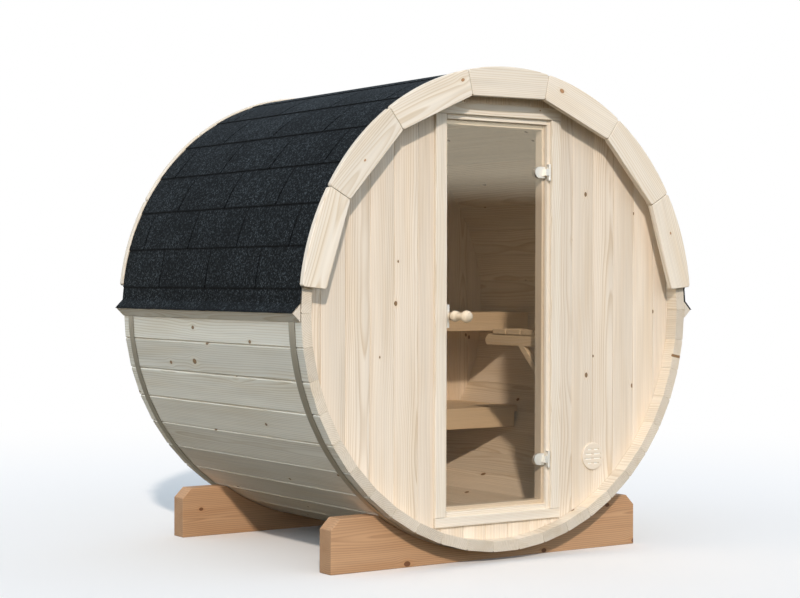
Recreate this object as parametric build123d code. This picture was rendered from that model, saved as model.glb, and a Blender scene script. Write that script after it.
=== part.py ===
import os
from math import cos, radians, sin, sqrt, tan

from build123d import *

# A barrel sauna on two cradles, in millimetres with +Z up.
# The origin is on the ground under the middle of the barrel, and the doorway faces -Y.

# Barrel: flat staves, one of them centred at the bottom
barrel_length = 1560
barrel_radius = 1000
stave_count = 46
stave_thickness = 45
stave_bevel = 5
stave_gap = 0.8
floor_count = 7
low_side_count = 5
side_count = 5
high_side_count = 6

# End walls, seated in a groove cut across every stave
wall_thickness = 45
wall_recess = 64.5
groove_depth = 14
groove_play = 1
wall_rim_play = 2
wall_joint = 0.6

# Steel hoops
hoop_width = 44
hoop_thickness = 1.5
hoop_inset = 50
hoop_fit = 0.3

# Cradles
cradle_length = 1593
cradle_height = 221
cradle_thickness = 86
cradle_seat = 42.6
cradle_inset = 105
cradle_corner = 44
cradle_fit = 0.4

# Arch boards on both ends of the barrel
arch_board_count = 7
arch_start = 5.8
arch_board_width = 108
arch_thickness = 28
arch_joint = 1
arch_joint_turn = 0.7
arch_overhang = 5
arch_corner_round = 12

# Shingle roof and the eave laths that it flares over
shingle_butt = 6.5
shingle_head = 3.5
first_course_angle = 5.4
course_angle = 9.48
course_gain = 0.24
course_count = 7
ridge_half_angle = 6
ridge_joint = 0.1
ridge_thickness = 2
eave_rise = 34
eave_drop = 35
eave_reach = 38
eave_bend = 2.2
lath_tip_drop = 2
roof_fit = 0.3

# Doorway: a frame with a rebate for the glass leaf, and the wall left over and under its corners
rebate_width = 524
wall_over_door = 94
wall_under_door = 61
door_clearance = 5
frame_thickness = 32
frame_depth = 66
stop_width = 10
stop_height = 20
frame_fit = 0.6

# Flat casings round the doorway
casing_reveal = 16
casing_head_reveal = 20
casing_width = 50
casing_sill_height = 40
casing_thickness = 15
casing_edge = 2

# Glass leaf
glass_thickness = 8
glass_setback = 9

# Hinges: a clamp on the glass and a leaf on the right jamb, joined by a pin
hinge_from_bottom = 192
hinge_from_top = 203
hinge_from_rebate = 5
hinge_forward = 12.5
knuckle_radius = 5.5
knuckle_height = 28
ear_height = 20.5
ear_gap = 0.5
pin_radius = 2.5
pin_play = 0.3
clamp_length = 54
clamp_height = 49
clamp_thickness = 5
neck_length = 12
arm_thickness = 8.5
leaf_width = 15
leaf_thickness = 3

# Knob and catch plate on the free edge
knob_below_axis = 19
knob_from_edge = 31
knob_ball_radius = 24
knob_ball_seat = 19
knob_neck_start = 14
knob_waist_radius = 17.5
knob_length = 124
knob_facet = 22.5
knob_side_count = 24
knob_cap_radius = 16
knob_cap_length = 10
catch_height = 96
catch_width = 12
catch_thickness = 2
catch_from_edge = 1

# Vent in the right half of the front wall, low near the rim
vent_from_rim = 145
vent_angle = -50.7
vent_hole_radius = 45
vent_cover_radius = 59
vent_cover_thickness = 8
vent_row_count = 4
vent_slot_pitch = 20
vent_slot_length = 38
vent_slot_height = 7
vent_slot_middle = 10

# Benches across the back and a shelf beside the door
bench_board = 28
bench_slat_gap = 9
bench_batten = 45
bench_end_play = 3
upper_bench_below_axis = 26
upper_bench_depth = 400
upper_bench_apron = 88
upper_slat_count = 4
lower_bench_below_axis = 476
lower_bench_depth = 530
lower_bench_apron = 97
lower_slat_count = 5
shelf_below_axis = 88
shelf_board = 22
shelf_depth = 402
shelf_board_count = 4
shelf_gap = 6
shelf_from_frame = 21
bracket_inset = 6
bracket_thickness = 28
bracket_reach = 470
bracket_drop = 275
bracket_arm = 50
bracket_leg = 45
bracket_brace = 40
bracket_spacing = 440

# Places that follow from the sizes above
front = -barrel_length / 2
axis_height = cradle_seat + cradle_fit + barrel_radius
stave_angle = 360 / stave_count
half_stave = radians(stave_angle / 2)
outer_flat = barrel_radius * cos(half_stave)
inner_flat = outer_flat - stave_thickness
wall_radius = inner_flat + groove_depth - wall_rim_play
wall_face = front + wall_recess
wall_back = wall_face + wall_thickness
rear_wall_face = -wall_back
hoop_outer = barrel_radius + hoop_fit + hoop_thickness
roof_radius = hoop_outer + roof_fit
arch_radius = roof_radius + shingle_butt + arch_overhang
arch_corner_radius = arch_radius - arch_board_width
rebate_half = rebate_width / 2
frame_half = rebate_half + frame_thickness
frame_corner = sqrt(wall_radius**2 - frame_half**2)
frame_top = axis_height + frame_corner - wall_over_door
frame_bottom = axis_height - frame_corner + wall_under_door
rebate_top = frame_top - frame_thickness
rebate_bottom = frame_bottom + frame_thickness
stop_half = rebate_half - stop_width
glass_half = rebate_half - door_clearance
glass_bottom = rebate_bottom + door_clearance
glass_top = rebate_top - door_clearance
glass_face = wall_face + glass_setback
glass_back = glass_face + glass_thickness
stop_face = glass_back + door_clearance
frame_back = wall_face + frame_depth
hinge_x = rebate_half + hinge_from_rebate
hinge_y = wall_face - hinge_forward
hinge_heights = (rebate_bottom + hinge_from_bottom, rebate_top - hinge_from_top)
knob_height = axis_height - knob_below_axis
vent_x = (wall_radius - vent_from_rim) * cos(radians(vent_angle))
vent_height = axis_height + (wall_radius - vent_from_rim) * sin(radians(vent_angle))
shelf_top = axis_height - shelf_below_axis
shelf_left = frame_half + shelf_from_frame


def save(name, solids):
    """Write the solids of one named piece."""
    piece = Compound(children=solids) if len(solids) > 1 else solids[0]
    piece.label = name
    export_step(piece, f"parts/{name}.step")


def block(x0, x1, y0, y1, z0, z1):
    """A box between two corners."""
    box = Box(x1 - x0, y1 - y0, z1 - z0)
    return Pos((x0 + x1) / 2, (y0 + y1) / 2, (z0 + z1) / 2) * box


def across(outline, y0, y1):
    """A flat outline in X and Z, drawn out from y0 to y1."""
    face = make_face(Plane.XZ * outline)
    return Pos(0, (y0 + y1) / 2, 0) * extrude(face, (y1 - y0) / 2, both=True)


def around(radius, angle):
    """A point at an angle on a circle about the barrel's axis, from +X towards +Z."""
    return (radius * cos(radians(angle)), axis_height + radius * sin(radians(angle)))


def inside_half_width(low, high):
    """Half the width that a straight board can have inside the barrel between two heights."""
    far = max(abs(low - axis_height), abs(high - axis_height))
    return sqrt(inner_flat**2 - far**2) - bench_end_play


def mirrored(solid):
    return mirror(solid, Plane.YZ)


def stave():
    """One stave at the top of a barrel about the origin, with a groove near each end."""
    side_play = stave_gap / 2 / cos(half_stave)
    outer = outer_flat * tan(half_stave) - side_play
    inner = inner_flat * tan(half_stave) - side_play
    shoulder = (outer_flat - stave_bevel) * tan(half_stave) - side_play
    half = [(inner, inner_flat), (shoulder, outer_flat - stave_bevel), (outer - stave_bevel, outer_flat)]
    other_half = [(-x, z) for x, z in reversed(half)]
    outline = Polyline(*half, *other_half, close=True)
    board = extrude(make_face(Plane.XZ * outline), barrel_length / 2, both=True)
    groove = wall_thickness + 2 * groove_play
    groove_middle = wall_face + wall_thickness / 2
    for y in (groove_middle, -groove_middle):
        cutter = Box(4 * outer, groove, 2 * groove_depth)
        board -= Pos(0, y, inner_flat) * cutter
    return board


def stave_group(first, count):
    """Staves counted from the bottom one, towards +X."""
    board = stave()
    places = [180 - stave_angle * number for number in range(first, first + count)]
    return [Pos(0, 0, axis_height) * Rot(0, turn, 0) * board for turn in places]


def end_wall(y0, y1):
    rim = Plane.XZ * Pos(0, axis_height) * Circle(wall_radius)
    return Pos(0, (y0 + y1) / 2, 0) * extrude(rim, (y1 - y0) / 2, both=True)


def front_wall():
    """The front wall, split beside, over and under the doorway."""
    wall = end_wall(wall_face, wall_back)
    side = frame_half + frame_fit
    top = frame_top + frame_fit
    bottom = frame_bottom - frame_fit
    far = 2 * wall_radius
    sky = axis_height + far
    right = wall & block(side, far, front, 0, -far, sky)
    hole = Cylinder(vent_hole_radius, 3 * wall_thickness, rotation=(90, 0, 0))
    right -= Pos(vent_x, wall_face, vent_height) * hole
    left = wall & block(-far, -side, front, 0, -far, sky)
    inner = side - wall_joint
    over = wall & block(-inner, inner, front, 0, top, sky)
    under = wall & block(-inner, inner, front, 0, -far, bottom)
    return {
        "front_wall_left": left.solids(),
        "front_wall_right": right.solids(),
        "front_wall_over_door": over.solids(),
        "front_wall_under_door": under.solids(),
    }


def hoop(y0):
    ring = Circle(hoop_outer) - Circle(barrel_radius + hoop_fit)
    band = extrude(Plane.XZ * Pos(0, axis_height) * ring, hoop_width / 2, both=True)
    return Pos(0, y0 + hoop_width / 2, 0) * band


def cradle(y0):
    """A beam with cut corners and a round seat under the barrel."""
    half = cradle_length / 2
    seat = barrel_radius + cradle_fit
    lip = sqrt(seat**2 - (axis_height - cradle_height) ** 2)
    base = Polyline(
        (-lip, cradle_height),
        (cradle_corner - half, cradle_height),
        (-half, cradle_height - cradle_corner),
        (-half, 0),
        (half, 0),
        (half, cradle_height - cradle_corner),
        (half - cradle_corner, cradle_height),
        (lip, cradle_height),
    )
    dip = ThreePointArc((lip, cradle_height), (0, axis_height - seat), (-lip, cradle_height))
    return across(base + dip, y0, y0 + cradle_thickness)


def arch_board(first_angle, last_angle, y0, y1):
    """A board with a round outer edge, a straight inner one and rounded corners."""
    trim = arch_joint / 2
    turn = (first_angle + last_angle) / 2
    half = radians((last_angle - first_angle) / 2)
    half_outer = arch_radius * sin(half) - trim * cos(half)
    outer_high = sqrt(arch_radius**2 - half_outer**2)
    half_inner = arch_corner_radius * sin(half) - trim * cos(half)
    inner_high = arch_corner_radius * cos(half)
    rim = ThreePointArc((half_outer, outer_high), (0, arch_radius), (-half_outer, outer_high))
    corners = [(half_inner, inner_high), (half_outer, outer_high)]
    edge = Polyline(*[(-x, z) for x, z in reversed(corners)], *corners)
    face = make_face(Plane.XZ * (rim + edge))
    board = Pos(0, (y0 + y1) / 2, 0) * extrude(face, (y1 - y0) / 2, both=True)
    board = fillet(board.edges().filter_by(Axis.Y), arch_corner_round)
    return Pos(0, 0, axis_height) * Rot(0, 90 - turn, 0) * board


def arch(y0, y1):
    """The row of arch boards over one end of the barrel, from right to left.

    Their joints lie turned a little to the left.
    """
    step = (180 - 2 * arch_start) / arch_board_count
    joints = [arch_start + step * number + arch_joint_turn for number in range(1, arch_board_count)]
    starts = [arch_start] + joints
    ends = joints + [180 - arch_start]
    return [arch_board(first, last, y0, y1) for first, last in zip(starts, ends)]


def course_start(number):
    """The angle of a course's lower edge, counted from the lowest; the courses widen upwards."""
    return first_course_angle + course_angle * number + course_gain * number**2


def shingle_side():
    """The right side of the roof: overlapping courses, the lowest flared over the eave lath."""
    butt = roof_radius + shingle_butt
    head = roof_radius + shingle_head
    middle = (butt + head) / 2
    top = 90 - ridge_joint / 2
    toe = (roof_radius + eave_reach, axis_height)
    flare = (toe[0] + shingle_head, axis_height)
    bend = around(head, eave_bend)
    under_bend = around(roof_radius, eave_bend)
    first = first_course_angle
    line = Polyline(toe, flare, bend)
    line += ThreePointArc(bend, around(head, (eave_bend + first) / 2), around(head, first))
    edges = [course_start(number) for number in range(course_count)]
    for low, high in zip(edges, edges[1:] + [top]):
        line += Line(around(head, low), around(butt, low))
        line += ThreePointArc(around(butt, low), around(middle, (low + high) / 2), around(head, high))
    line += Line(around(head, top), around(roof_radius, top))
    line += ThreePointArc(around(roof_radius, top), around(roof_radius, (top + eave_bend) / 2), under_bend)
    line += Line(under_bend, toe)
    return across(line, front, -front)


def eave_lath():
    """A three-sided lath against the hoops on the right."""
    back = hoop_outer + roof_fit
    reach = eave_reach - shingle_head
    outline = Polyline(
        (back, axis_height - eave_drop),
        (back + reach, axis_height - lath_tip_drop),
        (back, axis_height + eave_rise),
        close=True,
    )
    return across(outline, front, -front)


def ridge():
    """The strip of shingle over the top."""
    left = 90 + ridge_half_angle
    right = 90 - ridge_half_angle
    slope = (shingle_butt - shingle_head) / (90 - course_start(course_count - 1))
    low = roof_radius + shingle_head + slope * ridge_half_angle + roof_fit
    high = low + ridge_thickness
    line = ThreePointArc(around(high, right), around(high, 90), around(high, left))
    line += Line(around(high, left), around(low, left))
    line += ThreePointArc(around(low, left), around(low, 90), around(low, right))
    line += Line(around(low, right), around(high, right))
    return across(line, front, -front)


def jamb():
    """The right jamb: a rebate for the leaf in front and a stop behind it."""
    outline = Polyline(
        (rebate_half, wall_face),
        (frame_half, wall_face),
        (frame_half, frame_back),
        (stop_half, frame_back),
        (stop_half, stop_face),
        (rebate_half, stop_face),
        close=True,
    )
    return Pos(0, 0, frame_bottom) * extrude(make_face(outline), frame_top - frame_bottom)


def cross_frame(rebate, outer, stop):
    """The head or the sill between the jambs."""
    low, high = min(rebate, outer), max(rebate, outer)
    front_part = block(frame_fit - rebate_half, rebate_half - frame_fit, wall_face, stop_face, low, high)
    low, high = min(stop, outer), max(stop, outer)
    back_part = block(frame_fit - stop_half, stop_half - frame_fit, stop_face, frame_back, low, high)
    return front_part + back_part


def casing(x0, x1, z0, z1):
    board = block(x0, x1, wall_face - casing_thickness, wall_face, z0, z1)
    return chamfer(board.faces().sort_by(Axis.Y)[0].edges(), casing_edge)


def casings():
    inner = rebate_half + casing_reveal
    outer = inner + casing_width
    sill_top = rebate_bottom - casing_head_reveal
    head_bottom = rebate_top + casing_head_reveal
    right = casing(inner, outer, sill_top + frame_fit, head_bottom - frame_fit)
    return {
        "door_casing_left": [mirrored(right)],
        "door_casing_right": [right],
        "door_casing_head": [casing(-outer, outer, head_bottom, head_bottom + casing_width)],
        "door_casing_sill": [casing(-outer, outer, sill_top - casing_sill_height, sill_top)],
    }


def clamp_plate(x_end, y0, y1, z):
    """A plate with a round nose, against the glass."""
    nose = clamp_height / 2
    start = glass_half - clamp_length
    low = (start + nose, z - nose)
    high = (start + nose, z + nose)
    outline = Polyline(low, (x_end, z - nose), (x_end, z + nose), high)
    outline += ThreePointArc(high, (start, z), low)
    return across(outline, y0, y1)


def hinge_clamp(z):
    """The moving half of a hinge: two plates on the glass and an arm with a knuckle."""
    low = z - knuckle_height / 2
    high = z + knuckle_height / 2
    arm_face = hinge_y - arm_thickness / 2
    plate = clamp_plate(glass_half, glass_face - clamp_thickness, glass_face, z)
    neck = block(glass_half - neck_length, glass_half, arm_face, glass_face, low, high)
    arm = block(glass_half - neck_length, hinge_x, arm_face, hinge_y + arm_thickness / 2, low, high)
    knuckle = Pos(hinge_x, hinge_y, z) * Cylinder(knuckle_radius, knuckle_height)
    bore = Pos(hinge_x, hinge_y, z) * Cylinder(pin_radius + pin_play, 2 * knuckle_height)
    outside = plate + neck + arm + knuckle - bore
    inside = clamp_plate(stop_half - door_clearance, glass_back, glass_back + clamp_thickness, z)
    return [outside, inside]


def hinge_leaf(z):
    """The fixed half of a hinge: a plate on the jamb, two ears and their pin."""
    half_gap = knuckle_height / 2 + ear_gap
    top = half_gap + ear_height
    leaf_face = wall_face - leaf_thickness
    leaf = block(rebate_half, rebate_half + leaf_width, leaf_face, wall_face, z - top, z + top)
    leaf += Pos(hinge_x, hinge_y, z) * Cylinder(pin_radius, 2 * top)
    for side in (-1, 1):
        middle = z + side * (half_gap + ear_height / 2)
        leaf += Pos(hinge_x, hinge_y, middle) * Cylinder(knuckle_radius, ear_height)
        low = middle - ear_height / 2
        high = middle + ear_height / 2
        leaf += block(hinge_x - knuckle_radius, hinge_x + knuckle_radius, hinge_y, wall_face, low, high)
    return leaf


def knob():
    """A turned knob like a small spool on the outside, and its cap on the inside.

    Its rounds are drawn as narrow flat facets.
    """
    ball = knob_ball_radius
    near = knob_ball_seat
    far = knob_length - ball
    turns = [knob_facet * number for number in range(1, int(180 / knob_facet))]
    bands = [(ball * sin(radians(turn)), -ball * cos(radians(turn))) for turn in turns]
    rings = [(sqrt(ball**2 - near**2), 0)]
    rings += [(r, near + y) for r, y in bands if -near < y < knob_neck_start]
    rings += [(knob_waist_radius, (near + far) / 2)]
    rings += [(r, far + y) for r, y in bands if y > -knob_neck_start]
    sections = [Plane.XZ.offset(y) * RegularPolygon(r, knob_side_count) for r, y in rings]
    outside = loft(sections, ruled=True)
    cap = Cylinder(knob_cap_radius, knob_cap_length, rotation=(90, 0, 0))
    x = knob_from_edge - glass_half
    outside = Pos(x, glass_face, knob_height) * outside
    return [outside, Pos(x, glass_back + knob_cap_length / 2, knob_height) * cap]


def catch_plate():
    x0 = catch_from_edge - glass_half
    low = knob_height - catch_height / 2
    return block(x0, x0 + catch_width, glass_face - catch_thickness, glass_face, low, low + catch_height)


def vent_cover():
    """A round cover with two columns of slots and an eased rim."""
    cover = Cylinder(vent_cover_radius, vent_cover_thickness, rotation=(90, 0, 0))
    cover = chamfer(cover.edges().sort_by(Axis.Y)[0], casing_edge)
    for row in range(vent_row_count):
        z = (row - (vent_row_count - 1) / 2) * vent_slot_pitch
        reach = sqrt(vent_hole_radius**2 - (abs(z) + vent_slot_height / 2) ** 2)
        length = min(vent_slot_length, reach - vent_slot_middle / 2)
        for side in (-1, 1):
            x = side * (vent_slot_middle + length) / 2
            cover -= Pos(x, 0, z) * Box(length, 3 * vent_cover_thickness, vent_slot_height)
    return Pos(vent_x, wall_face - vent_cover_thickness / 2, vent_height) * cover


def bench(top, depth, apron, slats):
    """A bench from its front board to the rear wall: apron, slats and the battens below them."""
    y0 = rear_wall_face - depth
    slat_start = y0 + bench_board
    slat_bottom = top - bench_board
    low = top - apron
    half = inside_half_width(low, top)
    front_board = block(-half, half, y0, slat_start, low, top)
    width = (rear_wall_face - slat_start - slats * bench_slat_gap) / slats
    rows = []
    half = inside_half_width(slat_bottom, top)
    for number in range(slats):
        start = slat_start + bench_slat_gap + number * (width + bench_slat_gap)
        rows.append(block(-half, half, start, start + width, slat_bottom, top))
    batten_low = slat_bottom - bench_batten
    half = inside_half_width(batten_low, slat_bottom)
    ledger = block(-half, half, rear_wall_face - bench_batten, rear_wall_face, batten_low, slat_bottom)
    frame = ledger
    for x0 in (-half, -bench_batten / 2, half - bench_batten):
        frame += block(x0, x0 + bench_batten, slat_start, rear_wall_face, batten_low, slat_bottom)
    return front_board, rows, frame


def shelf():
    """The shelf on the front wall, right of the door."""
    low = shelf_top - shelf_board
    right = inside_half_width(low, shelf_top)
    width = shelf_depth / shelf_board_count - shelf_gap
    rows = []
    for number in range(shelf_board_count):
        start = wall_back + shelf_gap + number * (width + shelf_gap)
        rows.append(block(shelf_left, right, start, start + width, low, shelf_top))
    return rows


def bracket(x0):
    """An arm, a leg on the wall and a slanting brace between them."""
    top = shelf_top - shelf_board
    low = top - bracket_drop
    arm_low = top - bracket_arm
    tip = wall_back + bracket_reach
    cut = bracket_arm / 2
    nose = [(tip - cut, top), (tip, arm_low + cut), (tip - cut / 2, arm_low)]
    arm = Polyline((wall_back, top), *nose, (wall_back, arm_low), close=True)
    post = wall_back + bracket_leg
    leg = Polyline((wall_back, low), (post, low), (post, top), (wall_back, top), close=True)
    foot = wall_back + bracket_drop - bracket_arm
    brace_top = [(foot, arm_low + bracket_brace), (foot, arm_low)]
    brace = Polyline((wall_back, low), (wall_back, low + bracket_brace), *brace_top, close=True)
    shape = make_face(arm) + make_face(leg) + make_face(brace)
    solid = extrude(Plane.YZ * shape, bracket_thickness)
    return Pos(x0, 0, 0) * solid


save("cradle_front", [cradle(front + cradle_inset)])
save("cradle_rear", [cradle(-front - cradle_inset - cradle_thickness)])

groups = {
    "floor_staves": floor_count,
    "lower_right_staves": low_side_count,
    "right_side_staves": side_count,
    "upper_right_staves": high_side_count,
    "crown_staves": stave_count - floor_count - 2 * (low_side_count + side_count + high_side_count),
    "upper_left_staves": high_side_count,
    "left_side_staves": side_count,
    "lower_left_staves": low_side_count,
}
next_stave = -(floor_count // 2)
for name, count in groups.items():
    save(name, stave_group(next_stave, count))
    next_stave += count

for name, solids in front_wall().items():
    save(name, solids)
save("rear_wall", [end_wall(rear_wall_face, rear_wall_face + wall_thickness)])

save("hoop_front", [hoop(front + hoop_inset)])
save("hoop_rear", [hoop(-front - hoop_inset - hoop_width)])
save("front_arch_boards", arch(front - arch_thickness, front))
save("rear_arch_boards", arch(-front, arch_thickness - front))

right_shingles = shingle_side()
save("roof_shingles_right", [right_shingles])
save("roof_shingles_left", [mirrored(right_shingles)])
save("ridge_shingles", [ridge()])
lath = eave_lath()
save("eave_lath_right", [lath])
save("eave_lath_left", [mirrored(lath)])

right_jamb = jamb()
save("door_jamb_right", [right_jamb])
save("door_jamb_left", [mirrored(right_jamb)])
save("door_head", [cross_frame(rebate_top, frame_top, rebate_top - stop_height)])
save("door_sill", [cross_frame(rebate_bottom, frame_bottom, rebate_bottom + stop_height)])
for name, solids in casings().items():
    save(name, solids)

save("door_glass", [block(-glass_half, glass_half, glass_face, glass_back, glass_bottom, glass_top)])
save("hinge_clamps", [solid for z in hinge_heights for solid in hinge_clamp(z)])
save("hinge_leaves", [hinge_leaf(z) for z in hinge_heights])
save("door_knob", knob())
save("door_catch_plate", [catch_plate()])
save("vent_cover", [vent_cover()])

upper_bench_top = axis_height - upper_bench_below_axis
board, slats, frame = bench(upper_bench_top, upper_bench_depth, upper_bench_apron, upper_slat_count)
save("upper_bench_front_board", [board])
save("upper_bench_slats", slats)
save("upper_bench_frame", [frame])
lower_bench_top = axis_height - lower_bench_below_axis
board, slats, frame = bench(lower_bench_top, lower_bench_depth, lower_bench_apron, lower_slat_count)
save("lower_bench_front_board", [board])
save("lower_bench_slats", slats)
save("lower_bench_frame", [frame])
save("shelf_boards", shelf())
first_bracket = shelf_left + bracket_inset
save("shelf_brackets", [bracket(first_bracket), bracket(first_bracket + bracket_spacing)])
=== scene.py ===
import math
import random

import bmesh
import bpy
from mathutils import Matrix, Vector


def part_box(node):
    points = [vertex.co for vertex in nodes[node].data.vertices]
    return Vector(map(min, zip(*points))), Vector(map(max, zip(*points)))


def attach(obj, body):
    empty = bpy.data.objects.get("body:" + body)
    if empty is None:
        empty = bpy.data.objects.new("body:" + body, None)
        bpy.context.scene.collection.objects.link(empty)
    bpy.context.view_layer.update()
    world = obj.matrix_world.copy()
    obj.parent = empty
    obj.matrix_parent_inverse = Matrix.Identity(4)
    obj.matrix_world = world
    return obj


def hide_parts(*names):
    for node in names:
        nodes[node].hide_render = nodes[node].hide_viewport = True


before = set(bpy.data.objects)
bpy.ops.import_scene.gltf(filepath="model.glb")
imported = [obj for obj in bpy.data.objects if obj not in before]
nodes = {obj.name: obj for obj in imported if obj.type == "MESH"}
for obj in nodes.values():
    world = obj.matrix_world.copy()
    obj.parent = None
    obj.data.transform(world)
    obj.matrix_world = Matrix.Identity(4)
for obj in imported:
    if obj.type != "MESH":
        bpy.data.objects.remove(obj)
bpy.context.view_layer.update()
scene = bpy.context.scene
print("frame loaded:", len(nodes), "solids")

# Sizes that the frame gives, in metres
rearWallLow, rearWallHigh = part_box("rear_wall")
frontWallLow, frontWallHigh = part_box("front_wall_right")
crownLow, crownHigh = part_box("crown_staves")
hoopLow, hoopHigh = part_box("hoop_front")
jambLow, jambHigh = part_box("door_jamb_right")
ventLow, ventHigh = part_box("vent_cover")
glassLow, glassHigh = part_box("door_glass")
knobLow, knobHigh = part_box("door_knob")
ventCentre = (ventLow + ventHigh) / 2
knobCentre = (knobLow + knobHigh) / 2
barrel = {
    "axisHeight": (hoopLow.z + hoopHigh.z) / 2,
    "length": crownHigh.y - crownLow.y,
    "hoopOuter": (hoopHigh.x - hoopLow.x) / 2,
    "wallRadius": (rearWallHigh.x - rearWallLow.x) / 2,
}


def linear(colour):
    # sRGB hex to the linear numbers that a shader takes, by the standard's own curve
    parts = [int(colour[place:place + 2], 16) / 255 for place in (1, 3, 5)]
    return [p / 12.92 if p < 0.04045 else ((p + 0.055) / 1.055) ** 2.4 for p in parts] + [1]


def add(tree, kind, inputs={}, operation=None, **settings):
    # one node, with a value or another node for each of its inputs; shader nodes go by their short name,
    # and a Mix node has its colours at inputs 6 and 7
    node = tree.nodes.new(kind if "Node" in kind else "ShaderNode" + kind)
    if operation:
        node.operation = operation
    for key, value in settings.items():
        setattr(node, key, value)
    for key, source in inputs.items():
        if isinstance(source, bpy.types.Node):
            source = source.outputs[0]
        if isinstance(source, bpy.types.NodeSocket):
            tree.links.new(source, node.inputs[key])
        else:
            node.inputs[key].default_value = source
    return node


def span(source, fromLow, fromHigh, toLow, toHigh):
    # the inputs of a Map Range node
    return {0: source, 1: fromLow, 2: fromHigh, 3: toLow, 4: toHigh}


def newMaterial(name):
    material = bpy.data.materials.new(name)
    material.use_nodes = True
    material.node_tree.nodes.clear()
    return material, material.node_tree


def setRamp(node, stops):
    # stops are pairs of a place from 0 to 1 and a hex colour or a grey from 0 to 1
    elements = node.color_ramp.elements
    while len(elements) < len(stops):
        elements.new(0.5)
    for element, (place, tone) in zip(elements, stops):
        element.position = place
        element.color = linear(tone) if isinstance(tone, str) else (tone, tone, tone, 1)
    return node


# Wood. Every board carries grainPlace, its metres across, through and along from the heart of its tree,
# grainTone, a number from 0 to 1 of its own, and endGrain, 1 on its sawn ends. Rings of real softwood are
# 1 to 3 mm wide. They are drawn as wide as "ring" says, in metres, so that they show. "cell" is the room
# across and along that may hold one knot, "tone" how much darker a board may be, and "relief" is in metres.
woods = {
    # planed spruce wall boards, unfinished: pale and matt, with honey rings and small brown knots
    "spruceBoards": {
        "early": "#F2E6D5", "late": "#C9AF8C", "knot": "#8A6C4A", "knotRim": "#5E4934",
        "warm": "#E6D2B6", "ring": 0.0070, "contrast": 0.62, "knotSize": 0.0080, "knotShare": 0.42,
        "cell": (0.13, 0.42), "roughness": 0.62, "relief": 0.00035, "tone": 0.10,
    },
    # planed and sawn spruce arch boards: the palest wood, with red-brown knots
    "spruceTrim": {
        "early": "#F5ECDD", "late": "#D0B995", "knot": "#BA8B60", "knotRim": "#80623F",
        "warm": "#E9D7BC", "ring": 0.0070, "contrast": 0.6, "knotSize": 0.0110, "knotShare": 0.5,
        "cell": (0.12, 0.30), "roughness": 0.6, "relief": 0.0003, "tone": 0.08,
    },
    # chosen spruce for the door frame, casings and laths: straight and even, hardly a knot
    "spruceFrame": {
        "early": "#F5ECDD", "late": "#D0B995", "knot": "#BA8B60", "knotRim": "#80623F",
        "warm": "#E9D7BC", "ring": 0.0060, "contrast": 0.6, "knotSize": 0.0050, "knotShare": 0.08,
        "cell": (0.12, 0.30), "roughness": 0.6, "relief": 0.0003, "tone": 0.06,
    },
    # thick spruce staves, planed less finely: matt, each a little lighter or darker than the next
    "spruceStaves": {
        "early": "#F6EBD9", "late": "#CCB38F", "knot": "#93704B", "knotRim": "#665038",
        "warm": "#E7D5B9", "ring": 0.0080, "contrast": 0.58, "knotSize": 0.0120, "knotShare": 0.48,
        "cell": (0.14, 0.45), "roughness": 0.7, "relief": 0.0004, "tone": 0.14,
    },
    # pressure-impregnated pine, sawn: a dull red-brown through which the rings still show
    "impregnatedPine": {
        "early": "#D0A57D", "late": "#9E7450", "knot": "#7A4F31", "knotRim": "#53351F",
        "warm": "#BD8B5E", "ring": 0.0085, "contrast": 0.65, "knotSize": 0.0120, "knotShare": 0.5,
        "cell": (0.16, 0.40), "roughness": 0.72, "relief": 0.0005, "tone": 0.10,
    },
    # planed and sanded alder bench boards: even and warm, with little grain
    "alderBoards": {
        "early": "#EBD6B6", "late": "#CFAE83", "knot": "#A87B52", "knotRim": "#7A5536",
        "warm": "#DDBF95", "ring": 0.0065, "contrast": 0.35, "knotSize": 0.0060, "knotShare": 0.2,
        "cell": (0.13, 0.50), "roughness": 0.55, "relief": 0.0002, "tone": 0.08,
    },
    # turned birch, sanded smooth: pale, fine and with a soft gloss
    "turnedBirch": {
        "early": "#E9D9C0", "late": "#D4BA97", "knot": "#C9A67A", "knotRim": "#A98760",
        "warm": "#E0CBAA", "ring": 0.0040, "contrast": 0.35, "knotSize": 0.0010, "knotShare": 0.0,
        "cell": (0.13, 0.50), "roughness": 0.38, "relief": 0.0001, "tone": 0.02,
    },
}

# What all woods share. A scale is in waves per metre across, through and along the board. A span of four
# numbers turns the first two into the last two.
grain = {
    "knotSquash": 0.7,  # a knot is longer along the board by so much
    "smallestKnot": 0.35,
    "noKnot": 0.00001,  # the radius where there is none, which keeps a division from zero
    "flowReach": 0.36,
    "flowPull": -0.8,
    "wanderScale": 0.9,
    "wander": (0.04, 0.07, 0),
    "rippleScale": (14, 14, 2.2),
    "ripple": 1.1,
    "ringStops": [(0, 0.05), (0.45, 0.2), (0.86, 1), (1, 0.05)],
    "streakScale": (110, 110, 2.5),
    "streakLight": (0.25, 0.75, 0.93, 1.05),
    "streakRelief": 0.5,
    "areaScale": (16, 16, 1.6),
    "areaFrom": (0.3, 0.7),
    "areaContrast": (0.55, 1.3),
    "areaWarmth": (0.5, 0.8, 0, 0.5),
    "lightestBoard": 1.03,
    "endLight": 0.84,
    "knotHalo": (1.0, 2.6, 0.55, 0),
    "knotEdge": (0.85, 1.1, 1, 0),
    "rimStops": [(0, 0.35), (0.3, 0), (0.72, 0.1), (0.95, 0.8), (1, 0)],
    "roughEarly": 0.06,
    "smoothLate": 0.08,
    "bumpStrength": 0.5,
}


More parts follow.
